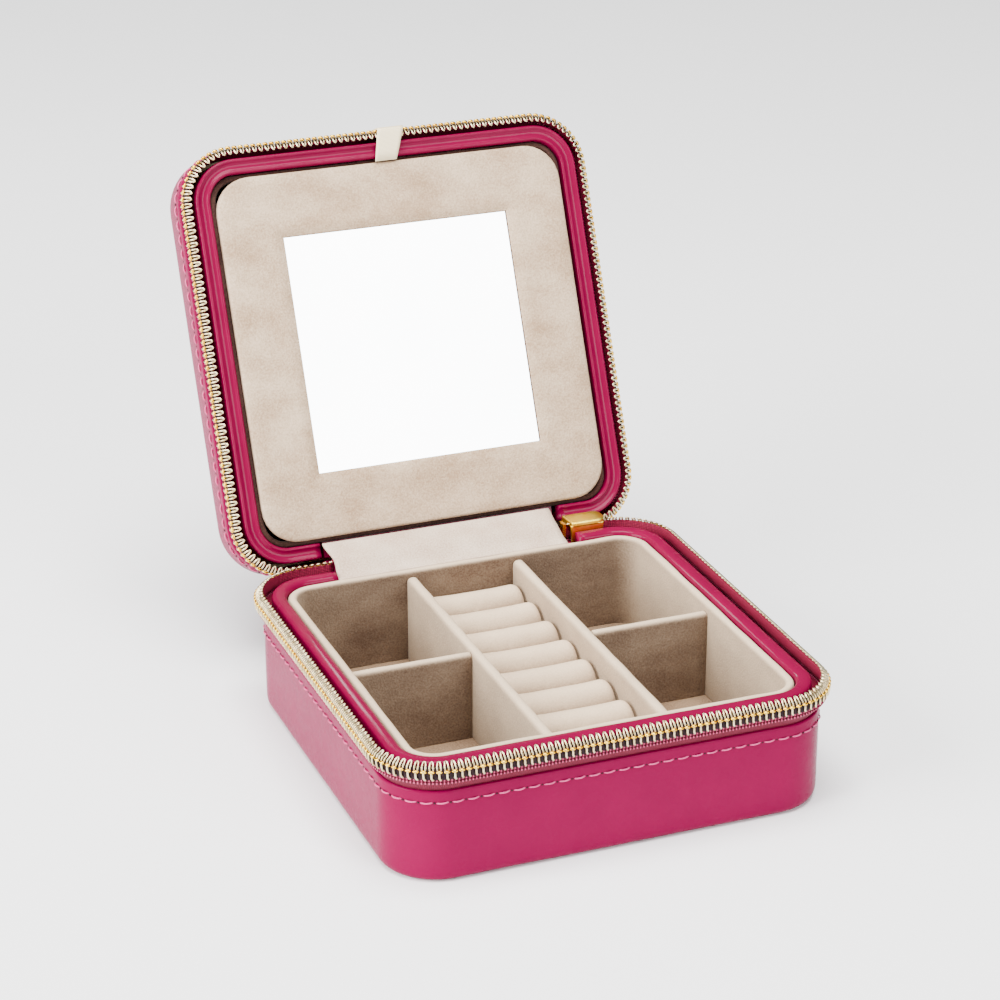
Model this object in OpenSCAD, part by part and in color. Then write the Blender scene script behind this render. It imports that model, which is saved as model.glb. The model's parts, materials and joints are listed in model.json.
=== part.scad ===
// Square zip-round jewelry case: a divided velvet tray below and a mirror lid above.
// Origin at the centre of the underside, +Z up, front towards -Y, hinge at the back.
// The lid is drawn closed, then swung open about the hinge line to its rest place.

/* [Case] */
// Width and depth of the leather shells
case_w = 119; // [118:0.5:120]
// Radius of the shells' upright corners
corner_r = 15; // [14:0.5:16]
// Thickness of the leather cover
leather_t = 1.2; // [1:0.1:1.2]
// Height of the base's leather wall
base_wall_h = 25.5; // [25:0.5:26.5]
// Height of the lid's leather wall
lid_wall_h = 12.5; // [12.5:0.5:14]

/* [Rim] */
// Height of the top of the base's zip teeth
base_rim_z = 34; // [33.5:0.1:34]
// Gap between the two rows of teeth with the lid down
rim_gap = 1.2; // [1.2:0.1:1.6]
// Half width of the base's zip, which flares outwards
base_zip_h = 60.8; // [60.2:0.1:61]
// Half width of the lid's zip
lid_zip_h = 58.8; // [58.6:0.1:59]
// Thickness of the row of teeth
chain_t = 2; // [1.8:0.1:2.2]
// Height of the row of teeth
chain_h = 4.4; // [4:0.1:4.6]
// Thickness of the woven tape
tape_t = 0.6; // [0.5:0.1:0.7]
// Half length of the part of the back with no zip
hinge_half = 35; // [34.5:0.1:35.2]

/* [Tray] */
// Height of the tray's rim
tray_z = 31.6; // [31:0.1:32]
// Half width of the tray's outside
tray_h = 53; // [52.5:0.1:53]
// Thickness of the tray's padded wall
tray_wall_t = 2.4; // [2:0.1:2.6]
// Height of the tray's floor surface
floor_z = 5; // [4.8:0.1:5.5]
// Height of the long dividers
divider_z = 30; // [28:0.5:30.5]
// Thickness of the long dividers
divider_t = 3; // [2.4:0.1:3.2]
// Width of the ring channel between the long dividers
channel_w = 28.4; // [24:0.4:32]
// Height of the cross dividers
cross_z = 29.6; // [26:0.2:30]
// Thickness of the cross dividers
cross_t = 2.8; // [2.2:0.1:3]
// Place of the cross dividers behind the centre
cross_y = 1.5; // [-10:0.5:10]
// Number of ring rolls
roll_count = 8; // [8:1:8]
// Height of the ring rolls' tops
roll_z = 25.6; // [20:0.2:26]

/* [Lid] */
// Angle that the lid opens through
lid_open = 114; // [100:1:114]
// Hinge line: distance behind the centre
hinge_y = 60.8; // [60.8:0.1:61.2]
// Hinge line: height
hinge_z = 30.1; // [30:0.1:30.4]
// Half width of the mirror panel
panel_h = 51; // [50.5:0.1:51]
// Corner radius of the mirror panel
panel_r = 10; // [8:0.5:12]
// Thickness of the mirror panel
panel_t = 2; // [1.8:0.1:2]
// Width of the square mirror
mirror_w = 66.4; // [60:0.2:70]
// How deep the mirror lies in its window
mirror_recess = 0.8; // [0.4:0.1:0.9]
// Width of the ribbon tab on the panel
tab_w = 7; // [5:0.5:9]

/* [Slider] */
// Length of the slider
slider_l = 11.4; // [10:0.2:11.4]
// Length of the pull
pull_l = 21; // [14:1:22]
// Width of the pull
pull_w = 6.4; // [5:0.2:7]

/* [Hidden] */
$fn = 48;
gap = 0.1;                                 // clearance between glued pieces of one body
fit = 0.3;                                 // clearance between pieces that move apart
case_h = case_w / 2;
corner_c = case_h - corner_r;              // distance of the corner centres from both axes
board_t = 1.9;                             // thickness of the stiffening boards
inner_h = case_h - leather_t - gap;        // half width inside the leather
wall_h = inner_h - tape_t - 2 * gap;       // half width inside the zip tape
collar_in = tray_h + 0.2;                  // base collar, inner and outer half widths
collar_out = wall_h;
collar_foot = 20;                          // height of the base collar's lower edge
collar_top = 32.6;                         // height of the base collar's rounded top
tape_foot = 16;                            // height of the tape's sewn edge in the base
lid_z = base_rim_z + rim_gap;              // lowest level of the closed lid's zip
lid_top = lid_z + chain_h + 3.9 + lid_wall_h;
lid_edge = lid_top - lid_wall_h;           // lower edge of the lid's leather wall
lid_collar_in = panel_h + 1.2;
lid_collar_out = lid_collar_in + 4.4;
lid_collar_z = lid_z + 0.1;
lid_collar_foot = lid_collar_z + 10.7;
panel_z = lid_z - 0.2;                     // face of the mirror panel with the lid closed
pocket_out = lid_collar_in - 0.2;
pocket_in = pocket_out - 1.6;
pocket_z = lid_top - leather_t - board_t - 2 * gap;
slider_t = 6.2;                            // slider size across the zip
slider_plate = 0.8;
slider_foot = 28.3;
slider_top = base_rim_z + 0.95;
zip_start = hinge_half - 0.9;              // right end of the base's zip
stop_w = 1.8;                              // length and thickness of the zip's end stops
stop_t = 2.6;
slider_x = zip_start + 0.2 + slider_l / 2; // the slider waits at that end
lid_zip_gap = asin((slider_x + slider_l / 2 + 1.1 - corner_c) / (wall_h + gap - corner_c));
gusset_half = hinge_half - 2.2;
spine_half = hinge_half - 3.4;
bridge_y = base_zip_h + slider_t / 2 + 1.6;
bridge_z = 32;
bridge_r = 0.6;
pink = [0.76, 0.16, 0.37];
crimson = [0.55, 0.03, 0.2];
velvet = [0.85, 0.79, 0.73];
card = [0.62, 0.55, 0.46];
gold = [0.9, 0.75, 0.4];

// Rounded square of half width h; its corners share their centres with the shells' corners.
module outline(h, r = -1) {
    rr = r < 0 ? h - corner_c : r;
    square([2 * h, 2 * (h - rr)], center = true);
    square([2 * (h - rr), 2 * h], center = true);
    for (x = [-1, 1], y = [-1, 1])
        translate([x * (h - rr), y * (h - rr)])
            circle(rr);
}

module plate(h, z0, z1, r = -1) {
    translate([0, 0, z0])
        linear_extrude(z1 - z0)
            outline(h, r);
}

module wall_ring(h_out, h_in, z0, z1) {
    translate([0, 0, z0])
        linear_extrude(z1 - z0)
            difference() {
                outline(h_out);
                outline(h_in);
            }
}

module block(x0, x1, y0, y1, z0, z1) {
    translate([x0, y0, z0])
        cube([x1 - x0, y1 - y0, z1 - z0]);
}

// One straight run of a rim; the child profile is drawn as (distance from corner centre, height).
module straight_run(length, start) {
    translate([corner_c, start, 0])
        rotate([90, 0, 0])
            linear_extrude(length)
                children();
}

// The child profile carried round the front, the sides and the corners, and along the back
// from the left corner to left_end and from right_end to the right corner. A right_end at the
// corner's own centre leaves the back run out, and trim then shortens that corner by an angle.
module rim_sweep(left_end, right_end, trim = 0) {
    for (turn = [0, 1, 2, 3])
        rotate([0, 0, 90 * turn])
            translate([corner_c, corner_c, 0])
                rotate_extrude(angle = turn == 0 ? 90 - trim : 90)
                    children();
    for (turn = [0, 2, 3])
        rotate([0, 0, 90 * turn])
            straight_run(2 * corner_c, corner_c)
                children();
    rotate([0, 0, 90]) {
        straight_run(corner_c + left_end, corner_c)
            children();
        if (right_end < corner_c)
            straight_run(corner_c - right_end, -right_end)
                children();
    }
}

// Upright bar profile with a half-round end; dir is 1 for a round top, -1 for a round foot.
module round_bar_profile(h_in, h_out, foot, tip, dir) {
    w = h_out - h_in;
    mid = tip - dir * w / 2;
    translate([h_in - corner_c, min(foot, mid)])
        square([w, abs(mid - foot)]);
    translate([h_in - corner_c + w / 2, mid])
        circle(w / 2);
}

// Tape profile: sewn flat inside the leather, leaning out to the teeth.
module tape_profile(h_sewn, h_zip, z_sewn, z_edge, z_bend, z_zip) {
    inner = h_sewn - corner_c;
    outer = h_zip - tape_t / 2 - corner_c;
    polygon([
        [inner, z_sewn], [inner + tape_t, z_sewn], [inner + tape_t, z_edge],
        [outer + tape_t, z_bend], [outer + tape_t, z_zip], [outer, z_zip], [outer, z_bend],
        [inner, z_edge],
    ]);
}

module chain_profile(h_zip, z0, z1) {
    translate([h_zip - chain_t / 2 - corner_c, z0])
        square([chain_t, z1 - z0]);
}

// Leather skin with a closed face, drawn with the face down from z = 0.
module skin(height) {
    difference() {
        plate(case_h, 0, height);
        plate(case_h - leather_t, leather_t, height + 1);
    }
}

// Carries the closed lid to its open rest place.
module opened() {
    translate([0, hinge_y, hinge_z])
        rotate([-lid_open, 0, 0])
            translate([0, -hinge_y, -hinge_z])
                children();
}

// ---- base shell ----

module base_leather_cover() {
    color(pink)
        skin(base_wall_h);
}

module base_bottom_board() {
    color(card)
        plate(inner_h, leather_t + gap, leather_t + gap + board_t);
}

module base_wall_board() {
    color(card)
        wall_ring(wall_h, collar_in, leather_t + board_t + 2 * gap, collar_foot - gap);
}

// Stiffener behind the tray that carries the spine and the gusset, where the collar is open.
module base_hinge_board() {
    color(card)
        block(-hinge_half + 0.5, hinge_half - 0.5, collar_in, collar_out, collar_foot, 29.4);
}

module base_collar() {
    color(pink)
        rim_sweep(-hinge_half - 1, hinge_half + 1)
            round_bar_profile(collar_in, collar_out, collar_foot, collar_top, 1);
}

module base_zip_tape() {
    color(crimson)
        rim_sweep(-hinge_half, zip_start)
            tape_profile(wall_h + gap, base_zip_h, tape_foot, base_wall_h, 28.2,
                base_rim_z - chain_h - gap);
}

module base_zip_chain() {
    color(gold)
        rim_sweep(-hinge_half, zip_start)
            chain_profile(base_zip_h, base_rim_z - chain_h, base_rim_z);
}

// Metal stop at an end of a row of teeth, from x = start towards +X.
module end_stop(start, length, zip_h, z0) {
    block(start, start + length, zip_h - stop_t / 2, zip_h + stop_t / 2, z0, z0 + chain_h);
}

module base_zip_end_stop() {
    color(gold)
        end_stop(-hinge_half + gap, stop_w, base_zip_h, base_rim_z - chain_h);
}

module zip_bottom_stop() {
    color(gold)
        end_stop(zip_start - gap - stop_w / 2, stop_w / 2, base_zip_h, base_rim_z - chain_h);
}

// ---- tray ----

module tray_wall() {
    color(velvet) {
        wall_ring(tray_h, tray_h - tray_wall_t, floor_z + gap, tray_z - tray_wall_t / 2);
        rim_bead();
    }
}

// Half-round bead that finishes the tray's rim.
module rim_bead() {
    rim_sweep(0, 0)
        translate([tray_h - tray_wall_t / 2 - corner_c, tray_z - tray_wall_t / 2])
            circle(tray_wall_t / 2);
}

module tray_floor() {
    color(velvet)
        plate(tray_h, leather_t + board_t + 3 * gap, floor_z);
}

// Padded divider with a half-round top, running along Y.
module divider(x_mid, y0, y1, thick, top) {
    translate([x_mid, y1, 0])
        rotate([90, 0, 0])
            linear_extrude(y1 - y0) {
                translate([-thick / 2, floor_z + gap])
                    square([thick, top - thick / 2 - floor_z - gap]);
                translate([0, top - thick / 2])
                    circle(thick / 2);
            }
}

module long_divider(side) {
    reach = tray_h - tray_wall_t - gap;
    color(velvet)
        divider(side * (channel_w + divider_t) / 2, -reach, reach, divider_t, divider_z);
}

module left_divider() {
    long_divider(-1);
}

module right_divider() {
    long_divider(1);
}

module cross_divider(side) {
    near = channel_w / 2 + divider_t + gap;
    far = tray_h - tray_wall_t - gap;
    color(velvet)
        translate([0, cross_y, 0])
            rotate([0, 0, -90 * side])
                divider(0, near, far, cross_t, cross_z);
}

module left_cross_divider() {
    cross_divider(-1);
}

module right_cross_divider() {
    cross_divider(1);
}

// Foam roll wrapped in velvet, number 1 at the back.
module ring_roll(number) {
    reach = tray_h - tray_wall_t - 2 * gap;
    pitch = 2 * reach / roll_count;
    width = pitch - gap;
    length = channel_w - 2 * gap;
    color(velvet)
        translate([0, reach - (number - 0.5) * pitch, 0])
            rotate([0, 0, 90])
                divider(0, -length / 2, length / 2, width, roll_z);
}

// ---- hinge fabric ----

// Strip of thickness t along the points of a path, extruded across the case.
module fabric_strip(path, t, half_width) {
    translate([-half_width, 0, 0])
        rotate([90, 0, 90])
            linear_extrude(2 * half_width)
                polygon(concat(path, [for (i = [len(path) - 1:-1:0]) path[i] - [0, t]]));
}

module hinge_gusset() {
    color(velvet)
        fabric_strip([[54, 31.2], [57.6, 32.1], [62, 33.6], [66, 35], [68.2, 35.7]], 0.9, gusset_half);
}

module hinge_spine() {
    color(pink)
        fabric_strip([[59.9, 25.4], [61.5, 28.4], [64.4, 29.8], [68, 28.6], [72, 26.6]], 1, spine_half);
}

// ---- lid shell, drawn closed ----

module lid_leather_cover() {
    color(pink)
        opened()
            translate([0, 0, lid_top])
                mirror([0, 0, 1])
                    skin(lid_wall_h);
}

module lid_top_board() {
    color(card)
        opened()
            plate(inner_h, lid_top - leather_t - gap - board_t, lid_top - leather_t - gap);
}

module lid_wall_board() {
    color(card)
        opened()
            wall_ring(wall_h, lid_collar_in, lid_collar_foot + gap, pocket_z);
}

module lid_hinge_board() {
    color(card)
        opened()
            block(-hinge_half + 0.5, hinge_half - 0.5, lid_collar_in, lid_collar_out,
                lid_z + 3.2, lid_collar_foot);
}

module lid_collar() {
    color(pink)
        opened()
            rim_sweep(-hinge_half - 1, hinge_half + 1)
                round_bar_profile(lid_collar_in, lid_collar_out, lid_collar_foot, lid_collar_z, -1);
}

module lid_zip_tape() {
    color(crimson)
        opened()
            rim_sweep(-hinge_half, corner_c, lid_zip_gap)
                tape_profile(wall_h + gap, lid_zip_h, pocket_z - gap, lid_edge, lid_edge - 1,
                    lid_z + chain_h + gap);
}

module lid_zip_chain() {
    color(gold)
        opened()
            rim_sweep(-hinge_half, corner_c, lid_zip_gap)
                chain_profile(lid_zip_h, lid_z, lid_z + chain_h);
}

module lid_zip_end_stop() {
    color(gold)
        opened()
            end_stop(-hinge_half + gap, stop_w, lid_zip_h, lid_z);
}

module pocket_wall() {
    color(velvet)
        opened()
            wall_ring(pocket_out, pocket_in, panel_z + panel_t + fit, pocket_z - 1.6);
}

module pocket_floor() {
    color(velvet)
        opened()
            plate(pocket_out, pocket_z - 1.5, pocket_z - gap);
}

// ---- mirror panel and its ribbon tab ----

module mirror_window(w, z0, z1) {
    block(-w / 2, w / 2, -w / 2, w / 2, z0, z1);
}

module mirror_panel() {
    color(velvet)
        opened()
            difference() {
                plate(panel_h, panel_z, panel_z + panel_t, panel_r);
                mirror_window(mirror_w, panel_z - 1, panel_z + panel_t + 1);
            }
}

module mirror_glass() {
    color("white")
        opened()
            mirror_window(mirror_w - 2 * gap, panel_z + mirror_recess, panel_z + panel_t);
}

module mirror_backing() {
    color(card)
        opened()
            mirror_window(mirror_w + 8, panel_z + panel_t + gap, panel_z + panel_t + 0.8);
}

module mirror_tab() {
    tab_y = -panel_h - 0.2;
    hook_y = -lid_zip_h - chain_t / 2 - 0.4;
    color([0.98, 0.93, 0.85])
        opened()
            union() {
                block(-tab_w / 2, tab_w / 2, hook_y - 0.6, tab_y, lid_z - 0.9, lid_z - 0.3);
                block(-tab_w / 2, tab_w / 2, hook_y - 0.6, hook_y, lid_z - 0.9, lid_z + 11);
            }
}

// ---- zip slider and pull ----

module slider_body() {
    color(gold)
        difference() {
            slider_block(slider_t / 2, slider_foot, slider_top);
            block(slider_x - slider_l, slider_x + slider_l,
                base_zip_h - slider_t / 2 + slider_plate, base_zip_h + slider_t / 2 - slider_plate,
                slider_foot - 1, slider_top - 0.65);
        }
}

// Block with a rounded nose towards the corner.
module slider_block(half, z0, z1) {
    translate([slider_x, base_zip_h, z0])
        linear_extrude(z1 - z0) {
            translate([-slider_l / 2, -half])
                square([slider_l - half, 2 * half]);
            translate([slider_l / 2 - half, 0])
                circle(half);
        }
}

// Round bar that the pull hangs on, held by two short arms.
module slider_bridge() {
    face = base_zip_h + slider_t / 2;
    reach = 4;
    color(gold) {
        translate([slider_x - reach, bridge_y, bridge_z])
            rotate([0, 90, 0])
                cylinder(r = bridge_r, h = 2 * reach, $fn = 32);
        for (side = [-1, 1])
            block(slider_x + side * reach - 0.6, slider_x + side * reach + 0.6,
                face + gap, bridge_y + bridge_r, bridge_z - 0.7, bridge_z + 0.7);
    }
}

// Flat pull with a round eye that turns on the bridge bar.
module pull_tab() {
    eye_r = bridge_r + 0.75;
    eye_w = 5;
    color(gold)
        difference() {
            union() {
                translate([slider_x - eye_w / 2, bridge_y, bridge_z])
                    rotate([0, 90, 0])
                        cylinder(r = eye_r, h = eye_w, $fn = 32);
                block(slider_x - eye_w / 2, slider_x + eye_w / 2, bridge_y - 0.7, bridge_y + 0.7,
                    bridge_z - 5, bridge_z - 0.9);
                block(slider_x - pull_w / 2, slider_x + pull_w / 2, bridge_y - 0.7, bridge_y + 0.7,
                    bridge_z - pull_l, bridge_z - 4);
            }
            translate([slider_x - eye_w, bridge_y, bridge_z])
                rotate([0, 90, 0])
                    cylinder(r = bridge_r + 0.08, h = 2 * eye_w, $fn = 32);
        }
}

base_leather_cover();
base_bottom_board();
base_wall_board();
base_hinge_board();
base_collar();
base_zip_tape();
base_zip_chain();
base_zip_end_stop();
zip_bottom_stop();
tray_wall();
tray_floor();
left_divider();
right_divider();
left_cross_divider();
right_cross_divider();
ring_roll(1);  // ring_roll_1
ring_roll(2);  // ring_roll_2
ring_roll(3);  // ring_roll_3
ring_roll(4);  // ring_roll_4
ring_roll(5);  // ring_roll_5
ring_roll(6);  // ring_roll_6
ring_roll(7);  // ring_roll_7
ring_roll(8);  // ring_roll_8
hinge_gusset();
hinge_spine();
lid_leather_cover();
lid_top_board();
lid_wall_board();
lid_hinge_board();
lid_collar();
lid_zip_tape();
lid_zip_chain();
lid_zip_end_stop();
pocket_wall();
pocket_floor();
mirror_panel();
mirror_glass();
mirror_backing();
mirror_tab();
slider_body();
slider_bridge();
pull_tab();
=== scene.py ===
import json
import math

import bmesh
import bpy
from mathutils import Matrix, Vector, noise

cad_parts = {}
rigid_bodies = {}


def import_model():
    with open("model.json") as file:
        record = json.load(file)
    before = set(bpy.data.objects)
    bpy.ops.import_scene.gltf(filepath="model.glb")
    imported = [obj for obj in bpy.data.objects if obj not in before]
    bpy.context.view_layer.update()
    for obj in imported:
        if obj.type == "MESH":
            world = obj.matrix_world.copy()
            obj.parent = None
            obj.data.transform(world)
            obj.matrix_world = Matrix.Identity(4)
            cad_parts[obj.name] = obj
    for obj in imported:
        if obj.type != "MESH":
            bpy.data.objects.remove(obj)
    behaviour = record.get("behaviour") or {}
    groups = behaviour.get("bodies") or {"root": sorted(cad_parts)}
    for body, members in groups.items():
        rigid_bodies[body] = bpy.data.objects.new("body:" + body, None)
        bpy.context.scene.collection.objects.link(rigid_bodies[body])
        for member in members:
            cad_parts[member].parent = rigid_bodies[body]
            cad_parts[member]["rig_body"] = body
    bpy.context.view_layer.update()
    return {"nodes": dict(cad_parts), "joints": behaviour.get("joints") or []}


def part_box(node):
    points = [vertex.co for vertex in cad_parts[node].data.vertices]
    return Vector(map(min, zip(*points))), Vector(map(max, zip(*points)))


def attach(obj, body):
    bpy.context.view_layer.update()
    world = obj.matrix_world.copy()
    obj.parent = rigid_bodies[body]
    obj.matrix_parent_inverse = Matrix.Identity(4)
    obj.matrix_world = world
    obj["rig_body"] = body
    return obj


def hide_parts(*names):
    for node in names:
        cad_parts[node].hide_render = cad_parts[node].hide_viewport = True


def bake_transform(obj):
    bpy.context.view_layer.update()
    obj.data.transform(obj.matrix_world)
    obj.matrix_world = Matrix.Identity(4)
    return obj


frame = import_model()

# ---- the frame's sizes, in millimetres, with the lid down ----

MM = 0.001
QUARTER = math.pi / 2
OPENED_BODIES = ("lid", "mirror_flap", "tab")

hinge = next(j for j in frame["joints"] if j["name"] == "lid_hinge")
hinge_place = Matrix.Translation(hinge["pos_m"])
open_turn = Matrix.Rotation(-math.radians(hinge["range_deg"][1]), 4, "X")
OPEN = hinge_place @ open_turn @ hinge_place.inverted()


def place_of(body):
    """Matrix that carries a body from its place with the lid down to its place at rest."""
    return OPEN if body in OPENED_BODIES else Matrix.Identity(4)


def closed_box(node):
    """Lowest and highest corner of a CAD node with the lid down, in millimetres."""
    item = frame["nodes"][node]
    back = place_of(item["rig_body"]).inverted()
    points = [(back @ v.co) / MM for v in item.data.vertices]
    low = Vector([min(p[i] for p in points) for i in range(3)])
    high = Vector([max(p[i] for p in points) for i in range(3)])
    return low, high


COVER_LOW, COVER_HIGH = closed_box("base_leather_cover")
TAPE_LOW = closed_box("base_zip_tape")[0]
CHAIN_LOW, CHAIN_HIGH = closed_box("base_zip_chain")
COLLAR_LOW, COLLAR_HIGH = closed_box("base_collar")
TRAY_LOW, TRAY_HIGH = closed_box("tray_wall")
FLOOR_LOW, FLOOR_HIGH = closed_box("tray_floor")
LID_LOW, LID_HIGH = closed_box("lid_leather_cover")
LID_TAPE_HIGH = closed_box("lid_zip_tape")[1]
LID_CHAIN_HIGH = closed_box("lid_zip_chain")[1]
LID_COLLAR_LOW, LID_COLLAR_HIGH = closed_box("lid_collar")
PANEL_LOW, PANEL_HIGH = closed_box("mirror_panel")
GLASS_HIGH = closed_box("mirror_glass")[1]
POCKET_LOW, POCKET_HIGH = closed_box("pocket_wall")
POCKET_FLOOR_LOW, POCKET_FLOOR_HIGH = closed_box("pocket_floor")
SLIDER_LOW, SLIDER_HIGH = closed_box("slider_body")
PULL_LOW, PULL_HIGH = closed_box("pull_tab")

CASE = COVER_HIGH.x                     # half width of the shells
CORNER = 15                             # radius of the shells' upright corners
CENTRE = CASE - CORNER                  # distance of the corners' centres from both axes
MIDDLE = CENTRE + 0.5                   # where an open profile stops and its flat face goes on inwards
LEATHER = 1.2                           # thickness of the leather
CHAIN_T = 2.0                           # thickness of a row of teeth
BASE_ZIP = CHAIN_HIGH.y - CHAIN_T / 2   # half widths of the two rows of teeth
LID_ZIP = LID_CHAIN_HIGH.y - CHAIN_T / 2
PITCH = 1.8                             # distance from tooth to tooth
STITCH = 4.0                            # distance from stitch to stitch
INWARD = (0.01, 0.2, 0.4, 0.6, 0.8)     # shares of the way out at which a flat face gets its points
HINGE_HALF = 35.0                       # half length of the back that has no zip


# ---- shapes ----

def rim_length(h):
    """Length of the rim line of half width h."""
    return 8 * CENTRE + 2 * math.pi * (h - CENTRE)


def rim(h, s):
    """Corner-centre point and outward normal at distance s along the rim of half width h.
    The rim starts at the middle of the back and goes round by the left, the front and the right."""
    radius = h - CENTRE
    turn, d = divmod(s, 2 * CENTRE + QUARTER * radius)
    angle = min(max(d - CENTRE, 0) / radius, QUARTER)
    centre = Vector((-min(d, CENTRE), CENTRE - max(0, d - CENTRE - QUARTER * radius)))
    spin = Matrix.Rotation(turn * QUARTER, 2)
    return spin @ centre, spin @ Vector((-math.sin(angle), math.cos(angle)))


def rounded(points, radius, closed=False, steps=5):
    """Outline with its corners eased by short curves; radius is one number or one for each point."""
    count = len(points)
    radii = radius if hasattr(radius, "__len__") else [radius] * count
    result = []
    for i, point in enumerate(points):
        here = Vector(point)
        if radii[i] == 0 or (not closed and i in (0, count - 1)):
            result.append(here)
            continue
        before = Vector(points[i - 1]) - here
        after = Vector(points[(i + 1) % count]) - here
        start = here + before.normalized() * min(radii[i], before.length * 0.48)
        end = here + after.normalized() * min(radii[i], after.length * 0.48)
        for k in range(steps + 1):
            t = k / steps
            result.append(start * (1 - t) ** 2 + here * (2 * t * (1 - t)) + end * t ** 2)
    return result


def circle(x, y, radius, sides):
    return [Vector((x + radius * math.cos(math.tau * k / sides),
                    y + radius * math.sin(math.tau * k / sides))) for k in range(sides)]


def evenly(start, end, pitch):
    """Middles of the equal steps, each close to pitch, that fill the way from start to end."""
    count = round((end - start) / pitch)
    return [start + (end - start) * (i + 0.5) / count for i in range(count)]


class Shape:
    """A mesh being put together: points in millimetres, faces, and a place along the path for each
    corner of each face, in metres, which the woven materials follow."""

    def __init__(self):
        self.points, self.faces, self.paths = [], [], []

    def add(self, points, faces, paths):
        first = len(self.points)
        self.points += [Vector(p) for p in points]
        self.faces += [[first + i for i in face] for face in faces]
        self.paths += paths

    def grid(self, rows, along, closed_rows=False, closed_row=True, caps=True):
        """Skin over rows of points. along is each row's place on the path. Caps close the two ends."""
        count, width = len(rows), len(rows[0])
        across = [0.0]
        for j in range(width):
            across.append(across[-1] + (Vector(rows[0][(j + 1) % width]) - Vector(rows[0][j])).length)
        faces, paths = [], []
        for i in range(count if closed_rows else count - 1):
            for j in range(width if closed_row else width - 1):
                nxt, right = (i + 1) % count, (j + 1) % width
                faces.append([i * width + j, nxt * width + j, nxt * width + right, i * width + right])
                u0, u1 = along[i] * MM, along[i + 1] * MM
                v0, v1 = across[j] * MM, across[j + 1] * MM
                paths.append([(u0, v0), (u1, v0), (u1, v1), (u0, v1)])
        if caps and not closed_rows and closed_row:
            for face in (range(width), range((count - 1) * width, count * width)):
                faces.append(list(face))
                paths.append([(0.0, 0.0)] * width)
        if caps and closed_rows and not closed_row:
            for j in (0, width - 1):
                faces.append([i * width + j for i in range(count)])
                paths.append([(0.0, 0.0)] * count)
        self.add([p for row in rows for p in row], faces, paths)

    def sweep(self, profile, h, start=0.0, end=None, step=1.6, closed=True):
        """Carries a profile of (half width, height) points round the rim, whole if end is None. The ends
        of an open profile go on to the middle of the case."""
        whole = end is None
        length = rim_length(h) if whole else end - start
        count = round(length / step)
        along = [start + length * i / count for i in range(count + 1)]
        rows = []
        for s in along[:-1] if whole else along:
            centre, normal = rim(h, s)
            row = [Vector((*(centre + normal * (p.x - CENTRE)), p.y)) for p in profile]
            if not closed:
                first, last = row[0], row[-1]
                row = [Vector((first.x * k, first.y * k, first.z)) for k in INWARD] + row
                row += [Vector((last.x * k, last.y * k, last.z)) for k in reversed(INWARD)]
            rows.append(row)
        self.grid(rows, along, closed_rows=whole, closed_row=closed)

    def tube(self, path, radius, sides=6):
        """Round wire along a path, with domed ends."""
        path = [Vector(p) for p in path]
        tangents = [(path[min(i + 1, len(path) - 1)] - path[max(i - 1, 0)]).normalized()
                    for i in range(len(path))]
        side = tangents[0].orthogonal().normalized()
        rows = []
        for i, (point, tangent) in enumerate(zip(path, tangents)):
            side = (side - tangent * side.dot(tangent)).normalized()
            other = tangent.cross(side)
            size = radius * (0.7 if i in (0, len(path) - 1) else 1)
            rows.append([point + side * (size * math.cos(math.tau * k / sides))
                         + other * (size * math.sin(math.tau * k / sides)) for k in range(sides)])
        along = [i * (path[-1] - path[0]).length / len(path) for i in range(len(path) + 1)]
        self.grid(rows, along)

    def ball(self, centre, radii, rings=5, sides=8):
        """Egg-shaped bead."""
        rows = []
        for i in range(rings):
            polar = math.pi * (i + 0.5) / rings
            rows.append([(centre[0] - radii[0] * math.cos(polar),
                          centre[1] + radii[1] * math.sin(polar) * math.cos(math.tau * k / sides),
                          centre[2] + radii[2] * math.sin(polar) * math.sin(math.tau * k / sides))
                         for k in range(sides)])
        self.grid(rows, list(range(rings + 1)))

    def repeat(self, pattern, h, z, places, up=1):
        """Copies a pattern drawn in (along, outward, up) coordinates to places along the rim."""
        for s in places:
            centre, normal = rim(h, s)
            tangent = Vector((-normal.y, normal.x))
            points = []
            for along, out, rise in pattern.points:
                spot = centre + normal * (h - CENTRE + out) + tangent * along
                points.append((spot.x, spot.y, z + up * rise))
            self.add(points, pattern.faces, [[(u + s * MM, v) for u, v in path] for path in pattern.paths])


def mount(name, mesh, body, material, replaces):
    """Makes the Blender object for a mesh, gives it its material and puts it on its body, if it has one."""
    for polygon in mesh.polygons:
        polygon.use_smooth = True
    mesh.materials.append(material)
    piece = bpy.data.objects.new(name, mesh)
    bpy.context.scene.collection.objects.link(piece)
    if body:
        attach(piece, body)
    if replaces:
        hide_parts(*replaces)
    return piece


def build(name, shape, body, material, replaces=(), ripple=None, place=None):
    """Makes a piece from a shape. ripple is the depth and the size of its unevenness, in millimetres."""
    mesh = bpy.data.meshes.new(name)
    mesh.from_pydata([p * MM for p in shape.points], [], shape.faces)
    layer = mesh.uv_layers.new(name="Path")
    flat = [corner for path in shape.paths for corner in path]
    for item, corner in zip(layer.data, flat):
        item.uv = corner
    work = bmesh.new()
    work.from_mesh(mesh)
    bmesh.ops.recalc_face_normals(work, faces=work.faces)
    work.to_mesh(mesh)
    work.free()
    if ripple:
        amount, size = ripple
        for v in mesh.vertices:
            v.co += v.normal * (amount * MM * noise.noise(v.co / (size * MM)))
    mesh.transform(place if place is not None else place_of(body))
    return mount(name, mesh, body, material, replaces)


# ---- materials ----

def srgb(red, green, blue):
    """Colour given as 0 to 255 display values, for a shader."""
    return tuple(((c / 255 + 0.055) / 1.055) ** 2.4 if c > 10 else c / 255 / 12.92
                 for c in (red, green, blue)) + (1.0,)


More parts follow.
